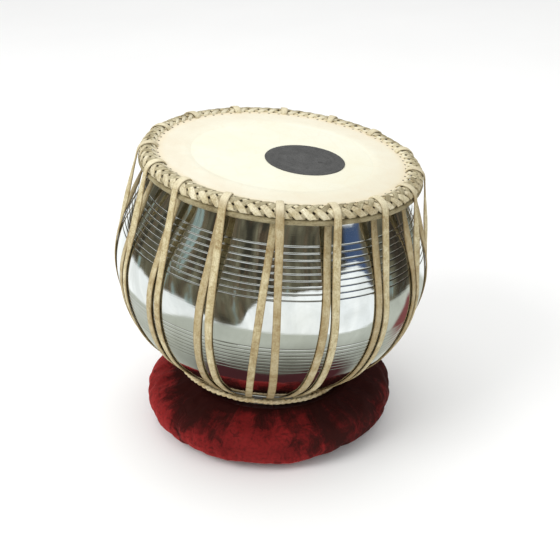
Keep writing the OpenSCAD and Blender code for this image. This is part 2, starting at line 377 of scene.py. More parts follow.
class Shader:
    """Short calls that add nodes to a tree and return their output sockets."""

    def __init__(self, tree):
        self.tree = tree
        tree.nodes.clear()

    def node(self, kind, inputs=None, **properties):
        node = self.tree.nodes.new(kind)
        for name, value in properties.items():
            setattr(node, name, value)
        self.fill(node, inputs or {})
        return node

    def fill(self, node, inputs):
        for name, value in inputs.items():
            if isinstance(value, bpy.types.NodeSocket):
                self.tree.links.new(value, node.inputs[name])
            else:
                node.inputs[name].default_value = value

    def attribute(self, name, output="Fac"):
        return self.node("ShaderNodeAttribute", attribute_name=name).outputs[output]

    def object_place(self):
        return self.node("ShaderNodeTexCoord").outputs["Object"]

    def mapping(self, vector, scale, shift=(0, 0, 0)):
        return self.node("ShaderNodeMapping", {"Vector": vector, "Scale": scale,
                                               "Location": shift}).outputs[0]

    def noise(self, vector, scale, detail=3.0, rough=0.55, distort=0.0):
        return self.node("ShaderNodeTexNoise", {
            "Vector": vector, "Scale": scale, "Detail": detail, "Roughness": rough,
            "Distortion": distort}).outputs["Fac"]

    def voronoi(self, vector, scale, feature="F1"):
        return self.node("ShaderNodeTexVoronoi", {"Vector": vector, "Scale": scale},
                         feature=feature).outputs["Distance"]

    def math(self, operation, a, b=0.0, clamp=False):
        return self.node("ShaderNodeMath", {0: a, 1: b, 2: 0.0}, operation=operation,
                         use_clamp=clamp).outputs[0]

    def add(self, a, b, clamp=False):
        return self.math("ADD", a, b, clamp)

    def sub(self, a, b, clamp=False):
        return self.math("SUBTRACT", a, b, clamp)

    def mul(self, a, b):
        return self.math("MULTIPLY", a, b)

    def radius(self, x, y):
        return self.math("SQRT", self.add(self.mul(x, x), self.mul(y, y)))

    def tent(self, value, centre, half_width):
        """1 at the centre, falling straight to 0 half_width away."""
        away = self.math("DIVIDE", self.sub(value, centre), half_width)
        return self.sub(1.0, self.math("ABSOLUTE", away), clamp=True)

    def remap(self, value, span, to=(0.0, 1.0), smooth=False):
        """Takes the ends of span to the ends of to."""
        return self.node("ShaderNodeMapRange", {
            "Value": value, "From Min": span[0], "From Max": span[1],
            "To Min": to[0], "To Max": to[1],
        }, interpolation_type="SMOOTHSTEP" if smooth else "LINEAR").outputs[0]

    def mix(self, share, a, b):
        return self.node("ShaderNodeMix", {0: share, 6: a, 7: b},
                         data_type="RGBA").outputs[2]

    def coats(self, base, *rows):
        """Lays colours over base in turn.

        A row is colour and mask, then optionally the mask's span, the opacity at the two
        ends of that span and whether the ramp is smooth.
        """
        for colour, mask, *ramp in rows:
            base = self.mix(self.remap(mask, *ramp) if ramp else mask, base, colour)
        return base

    def xyz(self, vector):
        return self.node("ShaderNodeSeparateXYZ", {0: vector}).outputs

    def vector(self, x, y, z):
        return self.node("ShaderNodeCombineXYZ", {0: x, 1: y, 2: z}).outputs[0]

    def bump(self, height, strength, distance, under=None):
        inputs = {"Height": height, "Strength": strength, "Distance": distance}
        if under is not None:
            inputs["Normal"] = under
        return self.node("ShaderNodeBump", inputs).outputs[0]


class Material(Shader):
    def __init__(self, name):
        self.material = bpy.data.materials.new(name)
        self.material.use_nodes = True
        super().__init__(self.material.node_tree)
        output = self.node("ShaderNodeOutputMaterial")
        self.principled = self.node("ShaderNodeBsdfPrincipled")
        self.tree.links.new(self.principled.outputs[0], output.inputs[0])

    def surface(self, **inputs):
        """Sets the surface's inputs by name and returns the finished material."""
        self.fill(self.principled, {k.replace("_", " "): v for k, v in inputs.items()})
        return self.material


# ---------------------------------------------------------------- materials


def plated_metal():
    """Mirror plate on spun metal: spinning lines, shallow dents, smears, dark grooves, and a
    painted reddish shade and reflection of the cushion at the bottom.
    """
    m = Material("plated_metal")
    loc = m.attribute("loc", "Vector")
    x, y, z = m.xyz(loc)
    around = m.math("ARCTAN2", y, x)
    spin = m.noise(m.vector(m.mul(around, 0.35), m.mul(z, 900.0), 0.0),
                   scale=1.0, detail=2.0, rough=0.6)
    dents = m.noise(loc, scale=22.0, detail=1.0, rough=0.4)
    smear = m.noise(m.mapping(loc, scale=(1, 1, 0.6)),
                    scale=38.0, detail=4.0, rough=0.62, distort=0.6)
    specks = m.noise(loc, scale=900.0, detail=2.0, rough=0.6)
    groove = m.attribute("groove")
    dirt = m.mul(groove, m.remap(m.noise(loc, scale=60.0), (0.35, 0.65), to=(0.35, 0.85)))
    # height with a ragged edge, for the painted reddish shade and painted reflection of the
    # cushion at the bottom
    low = m.add(z, m.mul(m.sub(smear, 0.5), 0.006))
    colour = m.coats(
        srgb(226, 229, 228),
        (srgb(206, 209, 206), smear, (0.35, 0.7)),
        (srgb(205, 203, 190), m.noise(loc, scale=9.0, detail=2.0), (0.4, 0.65), (0, 0.35)),
        (srgb(118, 112, 98), dirt),
        # painted reddish shade and painted reflection of the cushion towards the bottom
        (srgb(112, 92, 86), low, (-0.166, -0.175), (0.0, 0.7)))
    marks = m.add(m.mul(groove, 0.16), m.remap(specks, (0.62, 0.8), to=(0, 0.08)))
    rough = m.add(m.remap(smear, (0.4, 0.75), to=(0.045, 0.13)), marks, clamp=True)
    dented = m.bump(dents, strength=0.35, distance=0.0016)
    return m.surface(Base_Color=colour, Metallic=1.0, Roughness=rough,
                     Normal=m.bump(spin, strength=0.10, distance=0.00018, under=dented))


def stretched_goatskin():
    """Ivory, faintly mottled, with pores and thin veins, warmer towards the rim, with painted
    shade to the right and in the slits.
    """
    m = Material("stretched_goatskin")
    loc = m.attribute("loc", "Vector")
    x, y, z = m.xyz(loc)
    radius = m.radius(x, y)
    cloud = m.noise(loc, scale=26.0, detail=4.0, rough=0.6, distort=0.3)
    vein = m.voronoi(m.mapping(loc, scale=(1, 1, 1)), 55.0, "DISTANCE_TO_EDGE")
    pores = m.voronoi(loc, scale=620.0)
    hair = m.noise(m.mapping(loc, scale=(1.0, 0.18, 1.0)), scale=420.0, rough=0.6)
    warm = m.coats(srgb(230, 225, 205), (srgb(225, 217, 195), cloud, (0.38, 0.62)))
    # the outer ring of skin, whose tone is 1, is warmer
    ragged_radius = m.add(radius, m.mul(m.sub(cloud, 0.5), 0.02))
    warmth = m.mul(m.attribute("tone"),
                   m.remap(ragged_radius, (0.076, 0.094), to=(0.35, 0.95), smooth=True))
    # a faint line at the ring's cut edge
    from_edge = m.remap(m.math("ABSOLUTE", m.sub(radius, 0.0772)), (0.0, 0.0016))
    edge = m.sub(1.0, from_edge, clamp=True)
    colour = m.coats(
        srgb(234, 233, 215),
        (srgb(230, 227, 204), cloud, (0.35, 0.7)),
        (warm, warmth),
        (srgb(226, 208, 172), radius, (0.098, 0.1062), (0, 0.55), True),
        (srgb(206, 184, 148), m.mul(edge, 0.03)),
        # painted shade: darker towards the right and front
        (srgb(208, 200, 172), m.sub(x, y), (0.03, 0.13), (0.0, 0.30)),
        # painted shade in the slits where the plait's strips go through
        (srgb(38, 28, 16), m.attribute("hole"), (0.25, 0.7)),
        (srgb(226, 204, 168), vein, (0.0, 0.035), (0.10, 0.0)),
        (srgb(205, 180, 140), pores, (0.0, 0.35), (0.10, 0.0)),
        (srgb(214, 190, 150), hair, (0.62, 0.8), (0, 0.14)))
    grain = m.bump(m.add(m.mul(pores, 0.5), hair), strength=0.22, distance=0.00012)
    return m.surface(Base_Color=colour, Roughness=m.remap(cloud, (0.3, 0.7), to=(0.46, 0.62)),
                     IOR=1.45, Sheen_Weight=0.08,
                     Normal=m.bump(cloud, strength=0.18, distance=0.0008, under=grain))


def iron_paste():
    """Charcoal paste in faint rings, with a net of hairline cracks."""
    m = Material("iron_paste")
    loc = m.attribute("loc", "Vector")
    radius = m.attribute("tone")
    fine = m.voronoi(loc, 760.0, "DISTANCE_TO_EDGE")
    coarse = m.voronoi(m.mapping(loc, scale=(1, 1, 1), shift=(3, 1, 0)), 300.0,
                       "DISTANCE_TO_EDGE")
    cloud = m.noise(loc, scale=90.0, detail=4.0, rough=0.6)
    nearest = m.math("MINIMUM", fine, m.mul(coarse, 1.2))
    crack = m.remap(nearest, (0.0, 0.06), to=(1.0, 0.0))
    rings = m.math("SINE", m.mul(radius, 70.0))
    colour = m.coats(
        srgb(76, 76, 76),
        (srgb(92, 92, 91), cloud, (0.3, 0.7)),
        (srgb(40, 39, 38), m.mul(crack, 0.55)),
        (srgb(104, 104, 102), rings, (0.2, 1.0), (0, 0.10)))
    cracked = m.bump(crack, strength=-0.5, distance=0.0002)
    relief = m.add(cloud, m.mul(rings, 0.06))
    return m.surface(Base_Color=colour, Roughness=m.remap(cloud, (0.3, 0.7), to=(0.62, 0.82)),
                     IOR=1.5, Specular_IOR_Level=0.25,
                     Normal=m.bump(relief, strength=0.25, distance=0.0003, under=cracked))


def rawhide(name, light, mid, dark, edge_dark, painted_light_top=False, painted_light_inside=False):
    """Rawhide strip: long fibres, blotches, dark worn edges, small stains, and optional painted
    highlights.
    """
    m = Material(name)
    loc = m.attribute("loc", "Vector")
    along, across, _ = m.xyz(m.attribute("strip", "Vector"))
    fibre = m.noise(m.vector(m.mul(along, 0.09), m.mul(across, 4.5),
                             m.mul(m.attribute("tone"), 37.0)),
                    scale=1.6, detail=4.0, rough=0.65)
    blot = m.noise(loc, scale=110.0, detail=4.0, rough=0.62, distort=0.4)
    grain = m.noise(loc, scale=720.0, rough=0.7)
    wide = m.noise(loc, scale=24.0, detail=2.0, rough=0.5)
    edge = m.remap(m.math("ABSOLUTE", across), (0.66, 1.0), to=(0.0, edge_dark), smooth=True)
    spots = m.remap(m.voronoi(loc, scale=190.0), (0.0, 0.18), to=(0.6, 0.0))
    colour = m.coats(
        light,
        (mid, blot, (0.36, 0.62)),
        (dark, fibre, (0.46, 0.68), (0, 0.5)),
        (m.mix(m.remap(blot, (0.4, 0.6)), mid, dark), wide, (0.46, 0.62), (0, 0.6)),
        (dark, grain, (0.52, 0.66), (0, 0.55)),
        (light, grain, (0.46, 0.34), (0, 0.4)),
        (dark, m.mul(edge, m.remap(blot, (0.3, 0.7), to=(0.7, 1.0)))),
        (srgb(112, 84, 48), m.mul(spots, m.remap(wide, (0.5, 0.62)))),
        # darker where tone is low: tone differs from strip to strip, and on thong legs that lie
        # underneath it is painted shade
        (dark, m.attribute("tone"), (0.0, 1.0), (0.6, 0.0)))
    if painted_light_top:       # painted highlight on the top, where it goes over the hoop
        _, _, z = m.xyz(loc)
        colour = m.coats(colour, (srgb(238, 231, 204), z, (-0.004, 0.0025), (0.0, 0.45)))
    if painted_light_inside:    # painted highlight on the hoop's inner half, where it lies on top and bends down through the skin
        x, y, _ = m.xyz(loc)
        colour = m.coats(colour, (srgb(236, 228, 200), m.radius(x, y), (0.1115, 0.1075),
                                  (0.0, 0.7)))
    fibres = m.bump(m.add(fibre, m.mul(grain, 0.6)), strength=0.6, distance=0.00035)
    return m.surface(Base_Color=colour, Roughness=m.remap(blot, (0.3, 0.7), to=(0.48, 0.68)),
                     IOR=1.46, Specular_IOR_Level=0.4,
                     Normal=m.bump(blot, strength=0.45, distance=0.0007, under=fibres))


def crushed_velvet():
    """Crushed pile in patches, with painted light and shade and a painted sheen laid over it."""
    m = Material("crushed_velvet")
    loc = m.attribute("loc", "Vector")      # measured from the cushion's axis
    x, y, z = m.xyz(loc)
    around = m.math("ARCTAN2", y, x)
    crush = m.noise(m.vector(m.mul(around, 5.0), m.mul(z, 26.0), 0.0),
                    scale=1.0, detail=4.0, rough=0.62, distort=1.2)
    patches = m.noise(loc, scale=62.0, detail=5.0, rough=0.66, distort=1.6)
    fine = m.noise(loc, scale=420.0, rough=0.6)
    pile = m.noise(loc, scale=2600.0, detail=1.0, rough=0.5)
    light_and_shade = m.remap(x, (-0.112, -0.080), to=(0.22, 0.02))
    from_middle = m.math("SQRT", m.add(m.math("POWER", m.add(x, 0.00415), 2.0), m.mul(y, y)))
    # painted light and shade: lighter to the left, in the middle and low down, painted shade to
    # the right, on top and where the drum sits, and a darker patch high on the left
    light_and_shade_terms = (
        m.remap(x, (0.026, 0.055), to=(0.0, -0.085), smooth=True),
        m.mul(m.remap(m.tent(x, centre=-0.070, half_width=0.025), (0.0, 0.6)),
              m.remap(z, (0.024, 0.036), to=(0.0, -0.065))),
        m.mul(m.remap(m.tent(x, centre=-0.010, half_width=0.046), (0.0, 0.5)), 0.075),
        m.remap(from_middle, (0.086, 0.072), to=(0.0, -0.20)),
        m.remap(z, (0.033, 0.044), to=(0.0, -0.11)),
        m.mul(m.remap(x, (0.02, 0.06), to=(1.0, 0.25)),
              m.remap(z, (0.030, 0.010), to=(0.0, 0.10))),
    )
    for term in light_and_shade_terms:
        light_and_shade = m.add(light_and_shade, term)
    lie_and_light = m.add(m.mul(crush, 0.55), m.mul(patches, 0.45))
    lie_and_light = m.remap(m.add(lie_and_light, light_and_shade), (0.40, 0.62), smooth=True)
    facing = m.node("ShaderNodeLayerWeight", {"Blend": 0.45}).outputs["Facing"]
    deep = srgb(54, 20, 16)
    # painted sheen: lighter red where the pile is lit, stronger at grazing angles
    painted_sheen = m.mul(m.remap(lie_and_light, (0.55, 1.0)), m.remap(facing, (0.1, 0.8), to=(0.35, 0.9)))
    colour = m.coats(
        deep,
        (srgb(116, 27, 28), lie_and_light),
        (srgb(172, 44, 43), painted_sheen),
        (deep, fine, (0.45, 0.68), (0, 0.45)),
        (srgb(42, 15, 12), patches, (0.57, 0.62), (0, 0.5), True),
        # painted shade in the folds and where the cover is pressed in, where tone is low
        (srgb(34, 8, 8), m.attribute("tone"), (0.0, 1.0), (0.45, 0.0)))
    nap = m.bump(m.add(m.mul(fine, 0.6), m.mul(pile, 0.4)), strength=0.4, distance=0.0005)
    return m.surface(Base_Color=colour, Roughness=0.85, Specular_IOR_Level=0.12,
                     Sheen_Weight=m.remap(lie_and_light, (0.0, 1.0), to=(0.06, 0.42)),
                     Sheen_Roughness=0.4, Sheen_Tint=srgb(214, 80, 76),
                     Normal=m.bump(lie_and_light, strength=0.55, distance=0.0022, under=nap))


def fibre(name, light, dark, scale):
    """Loose fibre or rope for the hidden pieces."""
    m = Material(name)
    place = m.object_place()
    strands = m.noise(m.mapping(place, scale=(1, 1, 2.2)),
                      scale=scale, detail=5.0, rough=0.65, distort=0.8)
    clumps = m.voronoi(place, scale * 2.5)
    colour = m.coats(
        light,
        (dark, strands, (0.35, 0.68)),
        (dark, clumps, (0.0, 0.3), (0.35, 0.0)))
    clumped = m.bump(clumps, strength=0.3, distance=0.0005)
    return m.surface(Base_Color=colour, Roughness=m.remap(strands, (0.3, 0.7), to=(0.75, 0.85)),
                     Sheen_Weight=0.2,
                     Normal=m.bump(strands, strength=0.6, distance=0.001, under=clumped))


def red_thread():
    m = Material("red_thread")
    along, across, _ = m.xyz(m.attribute("strip", "Vector"))
    ply = m.math("SINE", m.add(m.mul(along, 5.0), m.mul(across, 2.0)))
    colour = m.coats(srgb(92, 14, 20), (srgb(150, 34, 38), ply, (-1, 1)))
    return m.surface(Base_Color=colour, Roughness=0.6, Sheen_Weight=0.3,
                     Normal=m.bump(ply, strength=0.5, distance=0.0002))


def inner_goatskin():
    m = Material("inner_goatskin")
    cloud = m.noise(m.object_place(), scale=60.0, detail=4.0, rough=0.6)
    colour = m.coats(srgb(226, 208, 170), (srgb(198, 174, 130), cloud, (0.35, 0.65)))
    return m.surface(Base_Color=colour, Roughness=0.6,
                     Normal=m.bump(cloud, strength=0.3, distance=0.0006))


def pale_floor():
    m = Material("pale_floor")
    cloud = m.noise(m.object_place(), scale=3.0, rough=0.5)
    colour = m.coats((0.91, 0.91, 0.90, 1), ((0.93, 0.93, 0.92, 1), cloud, (0.3, 0.7)))
    return m.surface(Base_Color=colour, Roughness=0.9, Specular_IOR_Level=0.05)


CHROME = plated_metal()
SKIN = stretched_goatskin()
PASTE = iron_paste()
STRAP = rawhide("thong_rawhide", light=srgb(221, 212, 175), mid=srgb(188, 174, 131),
                dark=srgb(134, 108, 66), edge_dark=0.7, painted_light_top=True)
# one rawhide in two copies: painted lit for the outer strips, painted shade for the strips that
# run underneath
PLAIT_LIT = rawhide("plait_rawhide_painted_lit", light=srgb(236, 229, 200),
                      mid=srgb(208, 198, 160), dark=srgb(140, 120, 82), edge_dark=0.6)
PLAIT_SHADED = rawhide("plait_rawhide_painted_shade", light=srgb(206, 198, 166),
                     mid=srgb(176, 166, 132), dark=srgb(104, 90, 60), edge_dark=0.75,
                     painted_light_inside=True)
# painted shade: the band under the plait is darkened
BAND = rawhide("band_rawhide_painted_shade", light=srgb(174, 164, 130), mid=srgb(148, 137, 102),
               dark=srgb(100, 86, 56), edge_dark=0.25)
RING = rawhide("ring_rawhide", light=srgb(232, 220, 184), mid=srgb(214, 198, 156),
               dark=srgb(158, 132, 88), edge_dark=0.3)
VELVET = crushed_velvet()
# painted shade: the core rope is dark so the gaps in the plait read as shadow
SHADED_ROPE = fibre("cotton_rope", light=srgb(74, 60, 38), dark=srgb(40, 30, 18), scale=420.0)
WADDING = fibre("cotton_wadding", light=srgb(232, 226, 210), dark=srgb(206, 198, 178),
                scale=180.0)
COIL = fibre("coiled_core", light=srgb(190, 158, 106), dark=srgb(140, 110, 66), scale=260.0)
THREAD = red_thread()

# ---------------------------------------------------------------- bowl
BOWL_SIDES = 288
BOWL_WALL = 1.6
LIP_RADIUS = 2.2
LIP_HEIGHT = -3.7
GROOVE_HALF = 0.5       # half the width of a groove, and the depth of an unworn one
GROOVE_MARGIN = 0.25    # from a groove's edge to plain wall
GROOVE_BANDS = (
    # first depth below the head, pitch, count, share of the full groove depth left
    (29.8, 4.8, 9, 0.86),
    (110, 3.7, 8, 0.30),
)
PLAIN_BANDS = ((9.2, 29, 2.4), (70.6, 108.5, 2.1), (138.4, 169.0, 2.4))  # from, to, step


def grooved_wall():
    """Outer profile from the rim to the ball, and how deep in a groove each point is."""
    stations = [(depth, 0.0, 0.0) for band in PLAIN_BANDS for depth in np.arange(*band)]
    plain = GROOVE_HALF + GROOVE_MARGIN
    for first, pitch, count, left in GROOVE_BANDS:
        cut = GROOVE_HALF * left
        for k in range(count):
            depth = first + pitch * k
            for side in (-1, 1):
                stations += [(depth + side * plain, 0, 0),
                             (depth + side * GROOVE_HALF, 0.02, 0.1),
                             (depth + side * 0.18, cut, 1)]
            if k < count - 1:
                between = np.linspace(depth + plain, depth + pitch - plain, 5)[1:-1]
                stations += [(d, 0, 0) for d in between]
    depth, cut, groove = np.array(sorted(stations)).T
    wall = np.concatenate([offset_run(NECK, 0, 1, 400, 0), offset_run(FLANK, 0, 1, 400, 0)[1:]])
    radius = np.interp(depth, -wall[:, 1], wall[:, 0])
    return np.stack([radius - cut, -depth], -1), groove


def make_bowl():
    inner = np.concatenate([offset_run(NECK, 0, 1, 16, -BOWL_WALL),
                            offset_run(FLANK, 0, 1, 10, -BOWL_WALL)[1:],
                            offset_run(BALL, 0, 1, 16, -BOWL_WALL)[1:]])
    bottom = offset_run(BALL, 0, 1, 44, 0)
    for curve in (inner, bottom):
        curve[:, 0] = np.maximum(curve[:, 0], 0)
    turn = np.radians(np.arange(0, 241, 12))
    lip = np.stack([NECK[0][0] - LIP_RADIUS + LIP_RADIUS * np.cos(turn),
                    LIP_HEIGHT + LIP_RADIUS * np.sin(turn)], -1)
    wall, wall_groove = grooved_wall()
    profile = np.concatenate([inner[::-1], lip[::-1], wall, bottom])
    groove = np.concatenate([np.zeros(len(inner) + len(lip)), wall_groove,
                             np.zeros(len(bottom))])
    points, quads, tris, angle = lathe(profile, BOWL_SIDES)
    # the spun wall is a little uneven
    radius = np.hypot(points[:, 0], points[:, 1])
    z = points[:, 2]
    uneven = 0.16 * (np.cos(3 * angle + z / 40) + 0.7 * np.sin(5 * angle - z / 25)
                     + 0.5 * np.sin(9 * angle + z / 16))
    fade = np.clip(radius / 60, 0, 1) * np.clip((-z - 9) / 12, 0, 1) * 0.55
    points[:, :2] *= (1 + (uneven - 0.22) * fade / np.maximum(radius, 1))[:, None]
    bowl = build("spun_bowl", drum_to_world(points), quads, tris, {
        "loc": points * MM,
        "groove": np.concatenate([np.repeat(groove[1:-1], BOWL_SIDES), [0, 0]])})
    finish(bowl, CHROME, "drum", "bowl")


make_bowl()

# ---------------------------------------------------------------- head: skins and paste patch
HELD_RADIUS = 104.0     # the skin beyond this doesn't move
CORNER = 1.5            # rounding where a skin turns down
# the ring skin's cut inner edge: distance out from it, share of the way up
CUT_EDGE = ((0, 0), (0.7, 0.10), (1.6, 0.27), (2.7, 0.50), (3.9, 0.74), (5.1, 0.91), (6.2, 1.0))


def press_weight(points):
    """1 under the paste patch, falling to 0 at the rim: how far the skin dips with it."""
    away = points[:, :2] - PATCH_CENTRE
    distance = np.linalg.norm(away, axis=1)
    direction = away / np.maximum(distance, 1e-6)[:, None]
    b = direction @ PATCH_CENTRE
    reach = b * b - (PATCH_CENTRE @ PATCH_CENTRE) + HELD_RADIUS ** 2
    rim = -b + np.sqrt(np.maximum(reach, 0))
    start = PATCH_RADIUS + 1
    share = np.clip((distance - start) / np.maximum(rim - start, 1e-6), 0, 1)
    weight = (1 - share) ** 1.35
    weight[np.linalg.norm(points[:, :2], axis=1) > HELD_RADIUS] = 0
    return weight


def make_skin(name, node, hole_radius, top, thick, skirt, tone):
    """A disc, or a ring if hole_radius isn't 0, that turns down at the skirt radius."""
    is_ring = hole_radius > 0
    if is_ring:
        rings = np.append(np.arange(hole_radius + 7.2, 102.4, 1.6),
                          np.arange(102.8, skirt - 1.9, 0.36))
    else:
        rings = np.append(np.arange(0.0, 102.4, 1.6), np.arange(103.0, skirt - 2.4, 1.6))

    def corner(radius, degrees):
        return [[skirt - CORNER + radius * math.sin(k), top - CORNER + radius * math.cos(k)]
                for k in np.radians(degrees)]

    under = top - thick
    profile = ([[r, top] for r in rings] + corner(CORNER, [0, 22.5, 45, 67.5, 90])
               + [[skirt, -4.0], [skirt, SKIRT_END],
                  [skirt - thick, SKIRT_END], [skirt - thick, -4.0]]
               + corner(CORNER - thick, [90, 60, 30, 0])
               + [[r, under] for r in rings[::-4]][:-1])
    if is_ring:
        edge = [[hole_radius + out, -0.05 + (top + 0.05) * up] for out, up in CUT_EDGE]
        profile = edge + profile + [[hole_radius + 3.4, under], [hole_radius + 1.3, -0.04]]
    else:
        profile.append([0, under])
    points, quads, tris, angle = lathe(profile, 768 if is_ring else 240, closed=is_ring)
    radius = np.hypot(points[:, 0], points[:, 1])
    hole = np.zeros(len(points))
    if is_ring:
        # hand-cut inner edge
        near = np.clip(1 - (radius - hole_radius) / 9, 0, 1)
        wave = ring_noise(angle, [2, 3, 5, 7, 11, 17], seed=2, power=0.7)
        points[:, :2] *= (1 + near * wave * 0.25 / np.maximum(radius, 1))[:, None]
        # slits where the plait's strips go through, round the inner edge of the hoop; their dark
        # colour is painted shade
        degrees = np.degrees(angle)
        slit = np.round((degrees - FIRST_AZIMUTH) / STRIP_PITCH - 0.5) + 0.5
        aside = (degrees - FIRST_AZIMUTH - slit * STRIP_PITCH) * math.pi / 180 * radius
        hole = np.exp(-((aside / 1.3) ** 2 + ((radius - 105.1) / 0.9) ** 2))
        hole = hole * (points[:, 2] > top - 0.2)
        points[:, 2] -= 0.42 * hole
        channel = np.exp(-((radius - 104.4) / 1.2) ** 2)
        points[:, 2] -= 0.05 * channel * (points[:, 2] > top - 0.2)
    skin = build(name, drum_to_world(points), quads, tris, {
        "loc": points * MM, "tone": np.full(len(points), tone), "hole": hole})
    skin.data.materials.append(SKIN)
    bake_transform(skin)
    weights = press_weight(points).astype(np.float32)
    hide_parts(node)


make_skin("head_playing_skin", "playing_skin", hole_radius=0, top=0.0, thick=0.75,
          skirt=108.1, tone=0.0)
make_skin("head_outer_skin_ring", "outer_skin_ring", hole_radius=77.0, top=0.65, thick=0.55,
          skirt=108.8, tone=1.0)

# [radius, height] round the patch's outer edge
PATCH_EDGE = [[33.9, 0.06], [34.0, 0.18], [33.95, 0.34], [33.6, 0.5], [33.1, 0.58]]
COAT_RADII = (29.5, 26.0, 22.0, 17.5, 12.0, 7.0)


def make_patch():
    radii = np.linspace(32.4, 0.8, 46)
    height = np.interp(radii, [0, 13.6, 24.5, 32.8], [1.5, 1.40, 1.08, 0.6])
    # each coat of paste ends a little inside the one before
    for coat in COAT_RADII:
        height += 0.05 * np.tanh((coat - radii) * 2.0)
    height -= 0.04
    profile = ([[0, 0.0]] + [[r, 0.0] for r in np.linspace(4, 33.2, 9)] + PATCH_EDGE
               + [[r, z] for r, z in zip(radii, height)] + [[0, height[-1]]])
    points, quads, tris, angle = lathe(profile, 150)
    radius = np.hypot(points[:, 0], points[:, 1])
    near = np.clip((radius - 24) / 10, 0, 1)
    wave = np.abs(ring_noise(angle, [3, 4, 6, 9, 13, 21], seed=5, power=0.8))
    points[:, :2] *= (1 - near * wave * 0.10 / np.maximum(radius, 1))[:, None]
    points = points + np.array([*PATCH_CENTRE, 0.05])
    patch = build("head_tuning_patch", drum_to_world(points), quads, tris,
                  {"loc": points * MM, "tone": radius * MM * 12})
    finish(patch, PASTE, "head_patch", "tuning_patch")


make_patch()

# ---------------------------------------------------------------- plaited hoop
HOOP_POINTS, hoop_length = resample(
    np.concatenate([bezier(HOOP_TOP, np.linspace(0, 1, 41)),
                    bezier(HOOP_SIDE, np.linspace(0, 1, 21))[1:]]), 0.25)
HOOP_SHARES = hoop_length / hoop_length[-1]


def hoop_at(share, scale):
    """Section points at a share of the way over and down, scaled about its middle."""
    point = np.stack([np.interp(share, HOOP_SHARES, HOOP_POINTS[:, i]) for i in range(2)], -1)
    return HOOP_MIDDLE + (point - HOOP_MIDDLE) * scale[..., None]


def plait(name, node, lean, on_top_inside, material, seed, phase):
    """One family of strips. lean is the sign of its slant.

    on_top_inside: it lies on top on the inner half of the hoop, otherwise on the outer half.
    """
    parts = Parts()
    share = np.linspace(-0.02, 1.0, 50)
    on_hoop = np.clip(share, 0, 1)
    over = 1 / (1 + np.exp((share - 0.49) * 32))
    if not on_top_inside:
        over = 1 - over
    normal = left_normal(np.gradient(hoop_at(on_hoop, np.ones_like(share)), axis=0))
    bulge, bulge_at = (0.12, 0.25) if on_top_inside else (0.5, 0.68)
    width = 2.38 + bulge * np.exp(-((share - bulge_at) / 0.17) ** 2)
    width = width - 0.75 * np.exp(-((share - 0.11) / 0.08) ** 2)
    for i in range(STRIPS):
        strip_seed = seed * 1000 + i
        generator = np.random.default_rng(strip_seed)
        scale = 0.785 + (0.925 - 0.785) * over + generator.normal() * 0.005
        section = hoop_at(on_hoop, scale)
        section[0] += [-0.5, -1.0]      # the end dips through the skin
        azimuth = np.radians(FIRST_AZIMUTH + (i + phase) * STRIP_PITCH
                             + lean * STRIP_PITCH * 2.2 * (share - 0.5)
                             + generator.normal() * 0.12)
        half_width = (width * (1 + 0.05 * generator.normal())
                      + 0.12 * smooth_noise(share * 25, 5, strip_seed))
        parts.ribbon(polar(section[:, 0], azimuth, section[:, 1]),
                     polar(normal[:, 0], azimuth, normal[:, 1]),
                     half_width, half_thick=0.5, sides=14, power=3.4,
                     tone=np.clip(0.72 + 0.22 * generator.normal(), 0.15, 1),
                     crown=-0.34 * over - 0.12, shift=i * 31.0)
    finish(parts.make(name), material, "drum", node)


plait("hoop_plait_over", "hoop_plait_outer_strips", lean=1, on_top_inside=False,
      material=PLAIT_LIT, seed=3, phase=0.75)
plait("hoop_plait_under", "hoop_plait_inner_strips", lean=-1, on_top_inside=True,
      material=PLAIT_SHADED, seed=4, phase=1.25)


def make_core_rope():
    """Three-ply rope that the plait is worked over."""
    rope = twisted_cord("hoop_core_twist", np.arange(960) * TURN / 960,
                        centre_r=HOOP_MIDDLE[0] - 0.3, centre_z=HOOP_MIDDLE[1] - 0.1,
                        twists=54, swing=1.3, radii=[1.34] * 3, sides=10,
                        wind_radius=114, across=1, tone=0.5)
    finish(rope, SHADED_ROPE, "drum", "hoop_core_rope")


make_core_rope()

BAND_RADIUS, BAND_HEIGHT = 116.4, -8.1          # centre of the band's section
BAND_HALF_WIDTH, BAND_HALF_HEIGHT = 4.7, 2.5
BAND_LIMIT = 121.15                             # the band's largest radius


def make_band():
    """The flat-sided strand under the plait, uneven on its outer and lower faces."""
    count = 360
    angle = np.arange(count) * TURN / count
    turn = np.radians(np.arange(0, 360, 18))
    radius = BAND_RADIUS + BAND_HALF_WIDTH * signed_power(np.cos(turn), 0.8)
    height = BAND_HEIGHT + BAND_HALF_HEIGHT * signed_power(np.sin(turn), 0.85)
    wave_out = 0.16 * ring_noise(angle, [5, 9, 16, 23, 37, 64], seed=11, power=0.35)
    wave_down = 0.14 * ring_noise(angle, [4, 7, 13, 19, 31], seed=12, power=0.35)
    uneven_r = radius + wave_out[:, None] * np.where(radius > BAND_RADIUS, 1, 0.2) - 0.1
    uneven_z = height + wave_down[:, None] * (height < BAND_HEIGHT)
    points = polar(np.minimum(uneven_r, BAND_LIMIT), angle[:, None], uneven_z).reshape(-1, 3)
    along = np.repeat(angle * 118, len(turn))
    across = np.tile((height - BAND_HEIGHT) / BAND_HALF_HEIGHT, count)
    band = build("hoop_band", drum_to_world(points), grid_quads(count, len(turn), True),
                 NO_TRIS, {"loc": points * MM,
                           "strip": np.stack([along, across, np.zeros_like(along)], -1),
                           "tone": np.full(len(points), 0.75)})
    finish(band, BAND, "drum", "hoop_lower_strand")


make_band()

# ---------------------------------------------------------------- lacing


